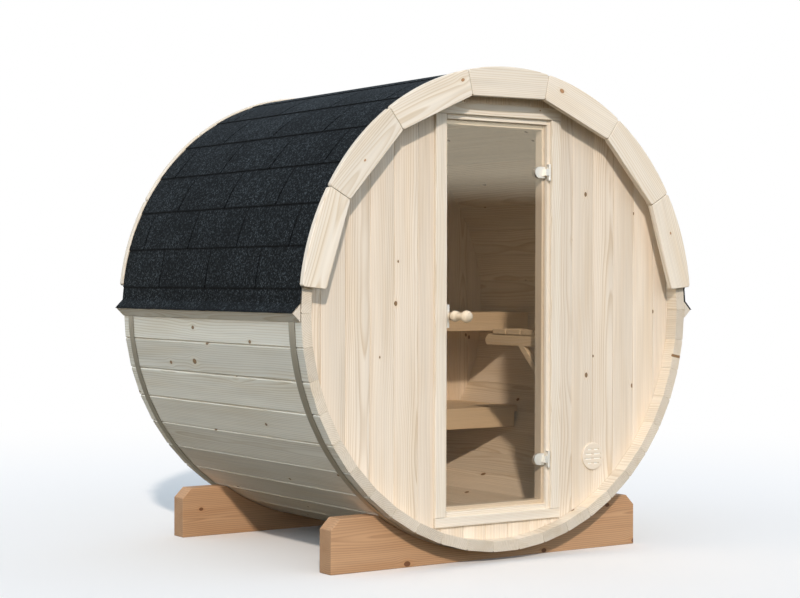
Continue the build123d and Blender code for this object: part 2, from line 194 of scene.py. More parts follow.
def placeKnots(tree, look, across, along):
    # one chance of a knot in each cell of a board's face
    cellAcross, cellAlong = look["cell"]
    flat = add(tree, "CombineXYZ", {0: across, 1: along})
    cells = add(tree, "VectorMath", {0: flat, 1: (cellAcross, cellAlong, 1)}, "DIVIDE")
    pick = add(tree, "TexVoronoi", {"Vector": cells, "Scale": 1.0}, voronoi_dimensions="2D")
    gap = add(tree, "VectorMath", {0: cells, 1: pick.outputs["Position"]}, "SUBTRACT")
    apart = add(tree, "VectorMath",
                {0: gap, 1: (cellAcross, grain["knotSquash"] * cellAlong, 0)}, "MULTIPLY")
    distance = add(tree, "VectorMath", {0: apart}, "LENGTH").outputs["Value"]
    draw = add(tree, "SeparateColor", {0: pick.outputs["Color"]}).outputs
    size = add(tree, "MapRange",
               span(draw[1], 0, 1, grain["smallestKnot"] * look["knotSize"], look["knotSize"]))
    kept = add(tree, "Math", {0: draw[0], 1: look["knotShare"]}, "LESS_THAN")
    radius = add(tree, "Math", {0: size, 1: kept, 2: grain["noKnot"]}, "MULTIPLY_ADD")
    share = add(tree, "Math", {0: distance, 1: radius}, "DIVIDE")

    # the grain flows round a knot: the space near it is drawn together
    spread = add(tree, "Math", {0: share, 1: grain["flowReach"]}, "MULTIPLY")
    square = add(tree, "Math", {0: spread, 1: 2}, "POWER")
    falling = add(tree, "Math", {0: square, 1: -1}, "MULTIPLY")
    near = add(tree, "Math", {0: falling}, "EXPONENT")
    pull = add(tree, "Math", {0: near, 1: grain["flowPull"]}, "MULTIPLY")
    side = add(tree, "SeparateXYZ", {0: apart})
    pulled = add(tree, "Math", {0: side, 1: pull, 2: across}, "MULTIPLY_ADD")
    return share, pulled


def drawRings(tree, look, place, pulled, through, along):
    # growth rings round the heart of the tree, which wanders along the board
    far = add(tree, "CombineXYZ", {2: along})
    wander = add(tree, "TexNoise",
                 {"Vector": far, "Scale": grain["wanderScale"], "Detail": 2.0, "Roughness": 0.5})
    drift = add(tree, "VectorMath", {0: wander.outputs["Color"], 1: (0.5, 0.5, 0.5)}, "SUBTRACT")
    bend = add(tree, "VectorMath", {0: drift, 1: grain["wander"]}, "MULTIPLY")
    straight = add(tree, "CombineXYZ", {0: pulled, 1: through})
    bent = add(tree, "VectorMath", {0: straight, 1: bend}, "ADD")
    fromHeart = add(tree, "VectorMath", {0: bent}, "LENGTH").outputs["Value"]
    fine = add(tree, "VectorMath", {0: place, 1: grain["rippleScale"]}, "MULTIPLY")
    ripple = add(tree, "TexNoise", {"Vector": fine, "Scale": 1.0, "Detail": 2.0})
    uneven = add(tree, "Math", {0: ripple, 1: grain["ripple"] * look["ring"], 2: fromHeart}, "MULTIPLY_ADD")
    count = add(tree, "Math", {0: uneven, 1: look["ring"]}, "DIVIDE")
    phase = add(tree, "Math", {0: count}, "FRACT")
    return setRamp(add(tree, "ValToRGB", {0: phase}), grain["ringStops"])


def tint(tree, colour, amount, under):
    # one colour of a wood over what lies under it
    mixed = add(tree, "Mix", {0: amount, 6: under, 7: linear(colour)}, data_type="RGBA")
    return mixed.outputs[2]


def makeWood(name):
    look = woods[name]
    material, tree = newMaterial(name)
    place = add(tree, "Attribute", attribute_name="grainPlace").outputs["Vector"]
    tone = add(tree, "Attribute", attribute_name="grainTone").outputs["Fac"]
    endGrain = add(tree, "Attribute", attribute_name="endGrain").outputs["Fac"]
    across, through, along = add(tree, "SeparateXYZ", {0: place}).outputs
    share, pulled = placeKnots(tree, look, across, along)
    rings = drawRings(tree, look, place, pulled, through, along)

    # long pale and dark streaks, and areas that are warmer and have stronger rings
    long = add(tree, "VectorMath", {0: place, 1: grain["streakScale"]}, "MULTIPLY")
    streaks = add(tree, "TexNoise", {"Vector": long, "Scale": 1.0, "Detail": 3.0})
    wide = add(tree, "VectorMath", {0: place, 1: grain["areaScale"]}, "MULTIPLY")
    areas = add(tree, "TexNoise", {"Vector": wide, "Scale": 1.0, "Detail": 2.0})
    contrasts = [part * look["contrast"] for part in grain["areaContrast"]]
    strength = add(tree, "MapRange", span(areas, *grain["areaFrom"], *contrasts))
    dark = add(tree, "Math", {0: rings, 1: strength}, "MULTIPLY")
    ringed = add(tree, "Mix",
                 {0: dark, 6: linear(look["early"]), 7: linear(look["late"])}, data_type="RGBA")
    warmth = add(tree, "MapRange", span(areas, *grain["areaWarmth"]))
    warm = tint(tree, look["warm"], warmth, ringed.outputs[2])
    value = add(tree, "MapRange", span(streaks, *grain["streakLight"]))
    own = add(tree, "MapRange", span(tone, 0, 1, 1 - look["tone"], grain["lightestBoard"]))
    both = add(tree, "Math", {0: value, 1: own}, "MULTIPLY")
    ends = add(tree, "MapRange", span(endGrain, 0, 1, 1, grain["endLight"]))
    light = add(tree, "Math", {0: both, 1: ends}, "MULTIPLY")
    lit = add(tree, "HueSaturation", {"Color": warm, "Value": light})

    # the knot itself: a brown middle, a dark rim and a warm halo
    halo = add(tree, "MapRange", span(share, *grain["knotHalo"]))
    middle = add(tree, "MapRange", span(share, *grain["knotEdge"]))
    rim = setRamp(add(tree, "ValToRGB", {0: share}), grain["rimStops"])
    colour = tint(tree, look["warm"], halo, lit)
    colour = tint(tree, look["knot"], middle, colour)
    colour = tint(tree, look["knotRim"], rim, colour)

    shine = add(tree, "MapRange", span(dark, 0, 1, look["roughness"] + grain["roughEarly"],
                                       look["roughness"] - grain["smoothLate"]))
    height = add(tree, "Math", {0: streaks, 1: grain["streakRelief"], 2: dark}, "MULTIPLY_ADD")
    bump = add(tree, "Bump",
               {"Height": height, "Strength": grain["bumpStrength"], "Distance": look["relief"]})
    surface = add(tree, "BsdfPrincipled",
                  {"Base Color": colour, "Roughness": shine, "Normal": bump, "IOR": 1.5})
    add(tree, "OutputMaterial", {0: surface})
    return material


wood = {name: makeWood(name) for name in woods}
print("woods made")

# Where a board was sawn from its tree: metres from the heart across and through it, and a place along it
sawing = {"seed": 7, "across": (0.01, 0.12), "through": (0.03, 0.075), "along": (0, 90), "endCosine": 0.75}
chance = random.Random(sawing["seed"])
backwards = Vector((0, 1, 0))


def looseBoards(mesh):
    # the vertices of each loose board, and for each vertex the number of its board
    neighbours = [[] for _ in mesh.vertices]
    for edge in mesh.edges:
        a, b = edge.vertices
        neighbours[a].append(b)
        neighbours[b].append(a)
    boardOf = [-1] * len(neighbours)
    boards = []
    for start in range(len(neighbours)):
        if boardOf[start] >= 0:
            continue
        members, queue = [], [start]
        boardOf[start] = len(boards)
        while queue:
            here = queue.pop()
            members.append(here)
            for other in neighbours[here]:
                if boardOf[other] < 0:
                    boardOf[other] = len(boards)
                    queue.append(other)
        boards.append(members)
    return boards, boardOf


def layGrain(piece, directions):
    # gives each loose board of a mesh its own grain
    mesh = piece.data
    boards, boardOf = looseBoards(mesh)
    # all layers are made before one is used, because a new layer can move the others
    mesh.attributes.new("grainPlace", "FLOAT_VECTOR", "POINT")
    mesh.attributes.new("grainTone", "FLOAT", "POINT")
    mesh.attributes.new("endGrain", "FLOAT", "FACE")
    layers = ("grainPlace", "grainTone", "endGrain")
    placeLayer, toneLayer, endLayer = (mesh.attributes[name] for name in layers)
    alongs = []
    for members in boards:
        points = [mesh.vertices[i].co for i in members]
        low = Vector([min(p[axis] for p in points) for axis in range(3)])
        high = Vector([max(p[axis] for p in points) for axis in range(3)])
        middle = (low + high) / 2
        across, through, along = directions(middle, high - low)
        sides = [chance.choice((-1, 1)) * chance.uniform(*sawing[way]) for way in ("across", "through")]
        heart = Vector((*sides, chance.uniform(*sawing["along"])))
        tone = chance.random()
        alongs.append(along)
        for i in members:
            out = mesh.vertices[i].co - middle
            placeLayer.data[i].vector = Vector((out.dot(across), out.dot(through), out.dot(along))) + heart
            toneLayer.data[i].value = tone
    for polygon in mesh.polygons:
        slant = abs(polygon.normal.dot(alongs[boardOf[polygon.vertices[0]]]))
        endLayer.data[polygon.index].value = 1.0 if slant > sawing["endCosine"] else 0.0


# The three functions below give a board's directions across, through and along its grain
def longestSide(middle, size):
    # a board square to the frame: along its longest side, and through its thinnest
    axes = [Vector((1, 0, 0)), Vector((0, 1, 0)), Vector((0, 0, 1))]
    order = sorted(range(3), key=lambda axis: size[axis])
    return axes[order[1]], axes[order[0]], axes[order[2]]


def stavePlace(middle, size):
    outwards = Vector((middle.x, 0, middle.z - barrel["axisHeight"])).normalized()
    return backwards.cross(outwards), outwards, backwards


def archPlace(middle, size):
    outwards = Vector((middle.x, 0, middle.z - barrel["axisHeight"])).normalized()
    return outwards, backwards, backwards.cross(outwards)


# How a solid's edges are dressed: angles in degrees, lengths in metres
dressing = {
    "mergeWithin": 0.00002,
    "flatWithin": 1,
    "sharpFrom": 30,
    "easeSegments": 2,
    "cornerFrom": 55,
    "cornerSegments": 5,
    "frontCosine": 0.99,
}


def bevel(shape, edges, offset, segments):
    bmesh.ops.bevel(shape, geom=edges, offset=offset, segments=segments, profile=0.5, affect="EDGES",
                    clamp_overlap=True)


def showPiece(name, shape):
    # the finished mesh as an object of the scene
    mesh = bpy.data.meshes.new(name)
    shape.to_mesh(mesh)
    shape.free()
    mesh.polygons.foreach_set("use_smooth", [True] * len(mesh.polygons))
    piece = bpy.data.objects.new(name, mesh)
    scene.collection.objects.link(piece)
    return piece


def dressed(name, source, ease, corner=0):
    # a copy of one solid, merged, with its sharp edges eased by so many metres; corner rounds off the
    # four corners that a board shows from the front
    shape = bmesh.new()
    shape.from_mesh(nodes[source].data)
    bmesh.ops.remove_doubles(shape, verts=shape.verts, dist=dressing["mergeWithin"])
    flat = math.radians(dressing["flatWithin"])
    bmesh.ops.dissolve_limit(shape, angle_limit=flat, verts=shape.verts, edges=shape.edges)
    if corner:
        steep = math.radians(dressing["cornerFrom"])
        folds = [e for e in shape.edges if e.calc_face_angle(0) > steep]
        ways = [(e.verts[1].co - e.verts[0].co).normalized() for e in folds]
        deep = [e for e, way in zip(folds, ways) if abs(way.y) > dressing["frontCosine"]]
        bevel(shape, deep, corner, dressing["cornerSegments"])
    sharp = math.radians(dressing["sharpFrom"])
    edges = [e for e in shape.edges if len(e.link_faces) == 2 and e.calc_face_angle(0) > sharp]
    bevel(shape, edges, ease, dressing["easeSegments"])
    # the large faces keep their own direction, and the light turns only on the eased edges
    sums = [sum((f.normal * f.calc_area() for f in v.link_faces), Vector()) for v in shape.verts]
    normals = [total.normalized() for total in sums]
    bmesh.ops.triangulate(shape, faces=[f for f in shape.faces if len(f.verts) > 4])
    piece = showPiece(name, shape)
    piece.data.normals_split_custom_set_from_vertices(normals)
    return piece


def settle(piece, material, body, slotName, *replaced):
    # a piece grown by a tree comes with its material
    if material:
        piece.data.materials.clear()
        piece.data.materials.append(material)
    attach(piece, body)
    if replaced:
        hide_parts(*replaced)
    return piece


def camel(name):
    first, *others = name.split("_")
    return first + "".join(word.capitalize() for word in others)


# Boards that keep the shape of their solid: wood, slot, rounding of edges and of corners, and directions
boardGroups = [
    ("spruceStaves", "spruce_staves", 0.0006, 0, stavePlace, [
        "floor_staves", "lower_right_staves", "right_side_staves", "upper_right_staves",
        "crown_staves", "upper_left_staves", "left_side_staves", "lower_left_staves"]),
    ("spruceTrim", "spruce_trim", 0.004, 0.012, archPlace, ["front_arch_boards", "rear_arch_boards"]),
    ("spruceFrame", "spruce_trim", 0.0015, 0, longestSide, [
        "eave_lath_right", "eave_lath_left", "door_jamb_right", "door_jamb_left", "door_head", "door_sill",
        "door_casing_left", "door_casing_right", "door_casing_head", "door_casing_sill"]),
    ("impregnatedPine", "impregnated_timber", 0.003, 0, longestSide, ["cradle_front", "cradle_rear"]),
    ("alderBoards", "bench_wood", 0.002, 0, longestSide, [
        "upper_bench_front_board", "upper_bench_slats", "upper_bench_frame", "lower_bench_front_board",
        "lower_bench_slats", "lower_bench_frame", "shelf_boards", "shelf_brackets"]),
]
for woodName, slotName, ease, corner, directions, sources in boardGroups:
    for source in sources:
        piece = dressed(camel(source), source, ease, corner)
        layGrain(piece, directions)
        settle(piece, wood[woodName], "root", slotName, source)
print("boards dressed")


# Shapes that follow a rule
def newTree(name, sizes):
    tree = bpy.data.node_groups.new(name, "GeometryNodeTree")
    for title, size in sizes.items():
        kind = {bool: "NodeSocketBool", int: "NodeSocketInt", float: "NodeSocketFloat"}[type(size)]
        tree.interface.new_socket(title, in_out="INPUT", socket_type=kind)
    tree.interface.new_socket("Geometry", in_out="OUTPUT", socket_type="NodeSocketGeometry")
    return tree, add(tree, "NodeGroupInput").outputs


def position(tree):
    # x, y and z of each point
    here = add(tree, "GeometryNodeInputPosition")
    return add(tree, "SeparateXYZ", {0: here}).outputs


def endTree(tree, geometry, material):
    realized = add(tree, "GeometryNodeRealizeInstances", {0: geometry})
    painted = add(tree, "GeometryNodeSetMaterial", {0: realized, "Material": material})
    add(tree, "NodeGroupOutput", {0: painted})


def grow(tree, name, sizes, crease=32):
    # the tree's result as a plain mesh, sharp where its faces meet at more than crease degrees
    holder = bpy.data.objects.new(name + "Holder", bpy.data.meshes.new(name + "Holder"))
    scene.collection.objects.link(holder)
    modifier = holder.modifiers.new("shape", "NODES")
    modifier.node_group = tree
    for socket in tree.interface.items_tree:
        if socket.in_out == "INPUT":
            modifier[socket.identifier] = sizes[socket.name]
    graph = bpy.context.evaluated_depsgraph_get()
    grown = holder.evaluated_get(graph)
    mesh = bpy.data.meshes.new_from_object(grown, preserve_all_data_layers=True, depsgraph=graph)
    mesh.name = name
    bpy.data.objects.remove(holder)
    mesh.set_sharp_from_angle(angle=math.radians(crease))
    piece = bpy.data.objects.new(name, mesh)
    scene.collection.objects.link(piece)
    return piece


doorwayGap = 0.0006
wallBoards = {
    "Board Width": 0.116,
    "Joint": 0.0006,
    "Edge Round": 0.003,
    "Board Count": 17,
    "First Board": -0.987,
    "Front": frontWallLow.y,
    "Thickness": frontWallHigh.y - frontWallLow.y,
    "Radius": barrel["wallRadius"],
    "Axis Height": barrel["axisHeight"],
    "Doorway": True,
    "Doorway Half": jambHigh.x + doorwayGap,
    "Doorway Low": jambLow.z - doorwayGap,
    "Doorway High": jambHigh.z + doorwayGap,
    "Vent X": ventCentre.x,
    "Vent Z": ventCentre.z,
    "Vent Hole": 0.045,
    "Seed": 3,
}
# the boards start over and under the circle, and what cuts them is longer than the barrel
wallCut = {"overlong": 1.1, "sides": 184, "ventSides": 48, "depth": 4.0}
# how far the heart of its tree lies from a board's left front edge, and a place along the tree
wallHeart = {"least": (-0.24, 0.03, 0), "most": (-0.04, 0.09, 90)}


def rawBoards(tree, size):
    # upright boards with rounded edges, side by side
    width = add(tree, "Math", {0: size["Board Width"], 1: size["Joint"]}, "SUBTRACT")
    section = add(tree, "GeometryNodeCurvePrimitiveQuadrilateral",
                  {"Width": width, "Height": size["Thickness"]})
    rounded = add(tree, "GeometryNodeFilletCurve",
                  {"Curve": section, "Radius": size["Edge Round"], "Count": 2}, mode="POLY")
    half = add(tree, "Math", {0: size["Radius"], 1: wallCut["overlong"]}, "MULTIPLY")
    low = add(tree, "Math", {0: size["Axis Height"], 1: half}, "SUBTRACT")
    high = add(tree, "Math", {0: size["Axis Height"], 1: half}, "ADD")
    foot = add(tree, "CombineXYZ", {2: low})
    head = add(tree, "CombineXYZ", {2: high})
    line = add(tree, "GeometryNodeCurvePrimitiveLine", {"Start": foot, "End": head})
    board = add(tree, "GeometryNodeCurveToMesh", {0: line, "Profile Curve": rounded, "Fill Caps": True})
    middle = add(tree, "Math", {0: size["Board Width"], 1: 0.5, 2: size["First Board"]}, "MULTIPLY_ADD")
    depth = add(tree, "Math", {0: size["Thickness"], 1: 0.5, 2: size["Front"]}, "MULTIPLY_ADD")
    start = add(tree, "CombineXYZ", {0: middle, 1: depth})
    step = add(tree, "CombineXYZ", {0: size["Board Width"]})
    row = add(tree, "GeometryNodeMeshLine",
              {"Count": size["Board Count"], "Start Location": start, "Offset": step})
    boards = add(tree, "GeometryNodeInstanceOnPoints", {"Points": row, "Instance": board})
    return add(tree, "GeometryNodeRealizeInstances", {0: boards})


def lyingDrum(tree, sides, radius, places):
    # a round bar along Y, centred at the places that 0 and 2 give for x and z
    drum = add(tree, "GeometryNodeMeshCylinder",
               {"Radius": radius, "Vertices": sides, "Depth": wallCut["depth"]})
    centre = add(tree, "CombineXYZ", places)
    return add(tree, "GeometryNodeTransform",
               {0: drum, "Translation": centre, "Rotation": (math.pi / 2, 0, 0)})


def doorwayBlock(tree, size):
    width = add(tree, "Math", {0: size["Doorway Half"], 1: 2}, "MULTIPLY")
    height = add(tree, "Math", {0: size["Doorway High"], 1: size["Doorway Low"]}, "SUBTRACT")
    extent = add(tree, "CombineXYZ", {0: width, 1: wallCut["depth"], 2: height})
    middle = add(tree, "Math", {0: height, 1: 0.5, 2: size["Doorway Low"]}, "MULTIPLY_ADD")
    centre = add(tree, "CombineXYZ", {2: middle})
    block = add(tree, "GeometryNodeMeshCube", {"Size": extent})
    return add(tree, "GeometryNodeTransform", {0: block, "Translation": centre})


def wallTree(material):
    # boards cut to the circle and, where there is a doorway, to it and the vent
    tree, size = newTree("wallBoards", wallBoards)
    boards = rawBoards(tree, size)
    disc = add(tree, "GeometryNodeMeshBoolean", {"Mesh 2": boards}, "INTERSECT")
    drum = lyingDrum(tree, wallCut["sides"], size["Radius"], {2: size["Axis Height"]})
    tree.links.new(drum.outputs[0], disc.inputs["Mesh 2"])
    doorway = doorwayBlock(tree, size)
    ventPlaces = {0: size["Vent X"], 2: size["Vent Z"]}
    vent = lyingDrum(tree, wallCut["ventSides"], size["Vent Hole"], ventPlaces)
    cuts = add(tree, "GeometryNodeJoinGeometry", {0: doorway})
    tree.links.new(vent.outputs[0], cuts.inputs[0])
    pierced = add(tree, "GeometryNodeMeshBoolean", {"Mesh 1": disc, "Mesh 2": cuts}, "DIFFERENCE")
    wall = add(tree, "GeometryNodeSwitch", {0: size["Doorway"], 1: disc, 2: pierced}, input_type="GEOMETRY")

    # each board's own grain
    x, y, z = position(tree)
    fromFirst = add(tree, "Math", {0: x, 1: size["First Board"]}, "SUBTRACT")
    turns = add(tree, "Math", {0: fromFirst, 1: size["Board Width"]}, "DIVIDE")
    number = add(tree, "Math", {0: turns}, "FLOOR")
    inBoard = add(tree, "Math", {0: turns, 1: number}, "SUBTRACT")
    metres = add(tree, "Math", {0: inBoard, 1: size["Board Width"]}, "MULTIPLY")
    deep = add(tree, "Math", {0: y, 1: size["Front"]}, "SUBTRACT")
    local = add(tree, "CombineXYZ", {0: metres, 1: deep, 2: z})
    whole = add(tree, "Math", {0: number}, "ROUND")
    heart = add(tree, "FunctionNodeRandomValue",
                {"ID": whole, "Seed": size["Seed"], 0: wallHeart["least"], 1: wallHeart["most"]},
                data_type="FLOAT_VECTOR")
    place = add(tree, "VectorMath", {0: local, 1: heart}, "ADD")
    tone = add(tree, "FunctionNodeRandomValue", {"ID": whole, "Seed": size["Seed"]}, data_type="FLOAT")
    marked = add(tree, "GeometryNodeStoreNamedAttribute",
                 {0: wall, "Value": place, "Name": "grainPlace"}, data_type="FLOAT_VECTOR")
    toned = add(tree, "GeometryNodeStoreNamedAttribute",
                {0: marked, "Value": tone.outputs[1], "Name": "grainTone"}, data_type="FLOAT")
    endTree(tree, toned, material)
    return tree


boardTree = wallTree(wood["spruceBoards"])
frontWall = grow(boardTree, "frontWallBoards", wallBoards)
settle(frontWall, None, "root", "spruce_boards",
       "front_wall_left", "front_wall_right", "front_wall_over_door", "front_wall_under_door")
rearBoards = dict(wallBoards, Front=rearWallLow.y, Doorway=False, Seed=11)
rearWall = grow(boardTree, "rearWallBoards", rearBoards)
settle(rearWall, None, "root", "spruce_boards", "rear_wall")
print("wall boards:", len(frontWall.data.polygons), len(rearWall.data.polygons))

# The shingles' face. Real grit is 1 mm. It is drawn at 6 mm, so that it shows
slateGrit = {
    "gritScale": 150.0,
    "grainScale": 170.0,
    "stops": [(0, "#0D0F0F"), (0.18, "#161819"), (0.36, "#282B2C"), (0.56, "#5A5F61")],
    "cloudScale": 5.0,
    "cloudLight": (0.35, 0.65, 0.7, 1.15),
    "tabLight": (0, 1, 0.8, 1.12),
    # the next two darken each tab: along its butt, partly its exposed bitumen edge and partly painted shade,
    # and with a painted shadow just under the butt of the next course
    "foot": (0.001, 0.009, 0.2, 1),
    "lap": (0.001, 0.010, 0.12, 1),
    "roughness": 0.92,
    "ior": 1.35,
    "relief": 0.0012,
}


def makeShingle():
    # bitumen felt pressed full of slate grit: matt, near black, with paler grains
    material, tree = newMaterial("slateGritBitumen")
    place = add(tree, "TexCoord").outputs["Object"]
    tone = add(tree, "Attribute", attribute_name="shingleTone").outputs["Fac"]
    fromButt = add(tree, "Attribute", attribute_name="fromButt").outputs["Fac"]
    toNext = add(tree, "Attribute", attribute_name="toNext").outputs["Fac"]
    grit = add(tree, "TexNoise",
               {"Vector": place, "Scale": slateGrit["gritScale"], "Detail": 2.0, "Roughness": 0.7})
    cells = add(tree, "TexVoronoi", {"Vector": place, "Scale": slateGrit["grainScale"]})
    one = add(tree, "SeparateColor", {0: cells.outputs["Color"]})
    speck = add(tree, "Math", {0: one, 1: grit}, "MULTIPLY")
    colour = setRamp(add(tree, "ValToRGB", {0: speck}), slateGrit["stops"])
    cloud = add(tree, "TexNoise",
                {"Vector": place, "Scale": slateGrit["cloudScale"], "Detail": 3.0, "Roughness": 0.6})
    patch = add(tree, "MapRange", span(cloud, *slateGrit["cloudLight"]))
    own = add(tree, "MapRange", span(tone, *slateGrit["tabLight"]))
    # the foot of each tab is darker, partly its exposed bitumen edge and partly painted shade, and a painted
    # shadow lies under the butt of the next one
    foot = add(tree, "MapRange", span(fromButt, *slateGrit["foot"]))
    lap = add(tree, "MapRange", span(toNext, *slateGrit["lap"]))
    both = add(tree, "Math", {0: patch, 1: own}, "MULTIPLY")
    edge = add(tree, "Math", {0: foot, 1: lap}, "MULTIPLY")
    light = add(tree, "Math", {0: both, 1: edge}, "MULTIPLY")
    lit = add(tree, "HueSaturation", {"Color": colour, "Value": light})
    bump = add(tree, "Bump", {"Height": speck, "Strength": 0.8, "Distance": slateGrit["relief"]})
    surface = add(tree, "BsdfPrincipled",
                  {"Base Color": lit, "Normal": bump, "Roughness": slateGrit["roughness"],
                   "IOR": slateGrit["ior"]})
    add(tree, "OutputMaterial", {0: surface})
    return material


# Roof of bitumen shingles, which lie just clear of the hoops; angles are in degrees from the horizontal
shingleFelt = makeShingle()
roofRadius = barrel["hoopOuter"] + 0.0003
shingles = {
    "Radius": roofRadius,
    "Axis Height": barrel["axisHeight"],
    "Butt Rise": 0.0062,
    "Head Rise": 0.0032,
    "Thickness": 0.003,
    "First Angle": 5.4,
    "Course Angle": 9.48,
    "Course Gain": 0.24,
    "Course Count": 8,
    "Tab Angle": 25.0,
    "Flare": 0.0351,
    "Flare Angle": 2.2,
    "Columns": 5,
    "Tab Length": 0.425,
    "Slit": 0.010,
    "First Slit": 0.137,
    "Half Length": barrel["length"] / 2,
    "Seed": 5,
}


def courseTurn(tree, size, number):
    # the angle in radians at which a course starts; the starter strip lies before the first
    straight = add(tree, "Math",
                   {0: number, 1: size["Course Angle"], 2: size["First Angle"]}, "MULTIPLY_ADD")
    square = add(tree, "Math", {0: number, 1: number}, "MULTIPLY")
    whole = add(tree, "Math", {0: square, 1: size["Course Gain"], 2: straight}, "MULTIPLY_ADD")
    kept = add(tree, "Math", {0: whole, 1: 0}, "MAXIMUM")
    return add(tree, "Math", {0: kept}, "RADIANS")


def ownTones(tree, size, pieces):
    # each piece gets a tone of its own, and all become one mesh
    tone = add(tree, "FunctionNodeRandomValue", {"Seed": size["Seed"]}, data_type="FLOAT")
    toned = add(tree, "GeometryNodeStoreNamedAttribute",
                {0: pieces, "Value": tone.outputs[1], "Name": "shingleTone"}, data_type="FLOAT",
                domain="INSTANCE")
    return add(tree, "GeometryNodeRealizeInstances", {0: toned})


def middleHeight(tree, size, passed, length):
    # the height of a piece's middle over the roof's radius, which falls from its butt to the next piece
    share = add(tree, "Math", {0: passed, 1: length}, "DIVIDE", use_clamp=True)
    fall = add(tree, "Math", {0: size["Head Rise"], 1: size["Butt Rise"]}, "SUBTRACT")
    top = add(tree, "Math", {0: share, 1: fall, 2: size["Butt Rise"]}, "MULTIPLY_ADD")
    halfThick = add(tree, "Math", {0: size["Thickness"], 1: 0.5}, "MULTIPLY")
    return add(tree, "Math", {0: top, 1: halfThick}, "SUBTRACT")


def bendRound(tree, size, geometry, height):
    # x is the angle, y the length and z the height over the piece's middle
    angle, along, rise = position(tree)
    seat = add(tree, "Math", {0: height, 1: size["Radius"]}, "ADD")
    reach = add(tree, "Math", {0: seat, 1: rise}, "ADD")
    cosine = add(tree, "Math", {0: angle}, "COSINE")
    sine = add(tree, "Math", {0: angle}, "SINE")
    x = add(tree, "Math", {0: cosine, 1: reach}, "MULTIPLY")
    z = add(tree, "Math", {0: sine, 1: reach, 2: size["Axis Height"]}, "MULTIPLY_ADD")
    front = add(tree, "Math", {0: size["Half Length"], 1: -1}, "MULTIPLY")
    y = add(tree, "Clamp", {"Value": along, "Min": front, "Max": size["Half Length"]})
    bent = add(tree, "CombineXYZ", {0: x, 1: y, 2: z})
    return add(tree, "GeometryNodeSetPosition", {0: geometry, "Position": bent})


def tabRows(tree, size):
    # a point at the butt of every tab, course after course, with the angle to the next course
    total = add(tree, "Math", {0: size["Course Count"], 1: size["Columns"]}, "MULTIPLY")
    row = add(tree, "GeometryNodeMeshLine", {"Count": total})
    index = add(tree, "GeometryNodeInputIndex")
    quotient = add(tree, "Math", {0: index, 1: size["Columns"]}, "DIVIDE")
    course = add(tree, "Math", {0: quotient}, "FLOOR")
    column = add(tree, "Math", {0: index, 1: size["Columns"]}, "MODULO")
    odd = add(tree, "Math", {0: course, 1: 2}, "MODULO")
    # every other course is shifted by half a tab
    stagger = add(tree, "Math", {0: odd, 1: 0.5, 2: column}, "MULTIPLY_ADD")
    behind = add(tree, "Math", {0: stagger, 1: 1}, "SUBTRACT")
    slide = add(tree, "Math", {0: behind, 1: size["Tab Length"], 2: size["First Slit"]}, "MULTIPLY_ADD")
    tabStart = add(tree, "Math", {0: slide, 1: size["Half Length"]}, "SUBTRACT")
    tabMiddle = add(tree, "Math", {0: size["Tab Length"], 1: 0.5, 2: tabStart}, "MULTIPLY_ADD")
    number = add(tree, "Math", {0: course, 1: 1}, "SUBTRACT")
    turn = courseTurn(tree, size, number)
    spot = add(tree, "CombineXYZ", {0: turn, 1: tabMiddle})
    placed = add(tree, "GeometryNodeSetPosition", {0: row, "Position": spot})
    nextTurn = courseTurn(tree, size, course)
    step = add(tree, "Math", {0: nextTurn, 1: turn}, "SUBTRACT")
    stepped = add(tree, "GeometryNodeStoreNamedAttribute",
                  {0: placed, "Value": step, "Name": "courseStep"}, data_type="FLOAT")
    outside = add(tree, "FunctionNodeCompare", {0: tabStart, 1: size["Half Length"]}, "GREATER_THAN")
    return add(tree, "GeometryNodeDeleteGeometry", {0: stepped, 1: outside})


def flatTabs(tree, size, points):
    # one flat tab on every point
    tall = add(tree, "Math", {0: size["Tab Angle"]}, "RADIANS")
    wide = add(tree, "Math", {0: size["Tab Length"], 1: size["Slit"]}, "SUBTRACT")
    extent = add(tree, "CombineXYZ", {0: tall, 1: wide, 2: size["Thickness"]})
    # enough slices to bend round the barrel
    slab = add(tree, "GeometryNodeMeshCube",
               {"Size": extent, "Vertices X": 47, "Vertices Y": 2, "Vertices Z": 2})
    halfTall = add(tree, "Math", {0: tall, 1: 0.5}, "MULTIPLY")
    up = add(tree, "CombineXYZ", {0: halfTall})
    tab = add(tree, "GeometryNodeTransform", {0: slab, "Translation": up})
    measured = add(tree, "GeometryNodeStoreNamedAttribute",
                   {0: tab, "Value": position(tree)[0], "Name": "tabAngle"}, data_type="FLOAT")
    # the starter strip has no slits, so its pieces are drawn out until they meet
    starter = add(tree, "Math", {0: position(tree)[0], 1: 0.01}, "LESS_THAN")
    closed = add(tree, "Math", {0: size["Tab Length"], 1: wide}, "DIVIDE")
    drawn = add(tree, "Math", {0: closed, 1: 1}, "SUBTRACT")
    widen = add(tree, "Math", {0: starter, 1: drawn, 2: 1}, "MULTIPLY_ADD")
    stretch = add(tree, "CombineXYZ", {0: 1, 1: widen, 2: 1})
    return add(tree, "GeometryNodeInstanceOnPoints",
               {"Points": points, "Instance": measured, "Scale": stretch})


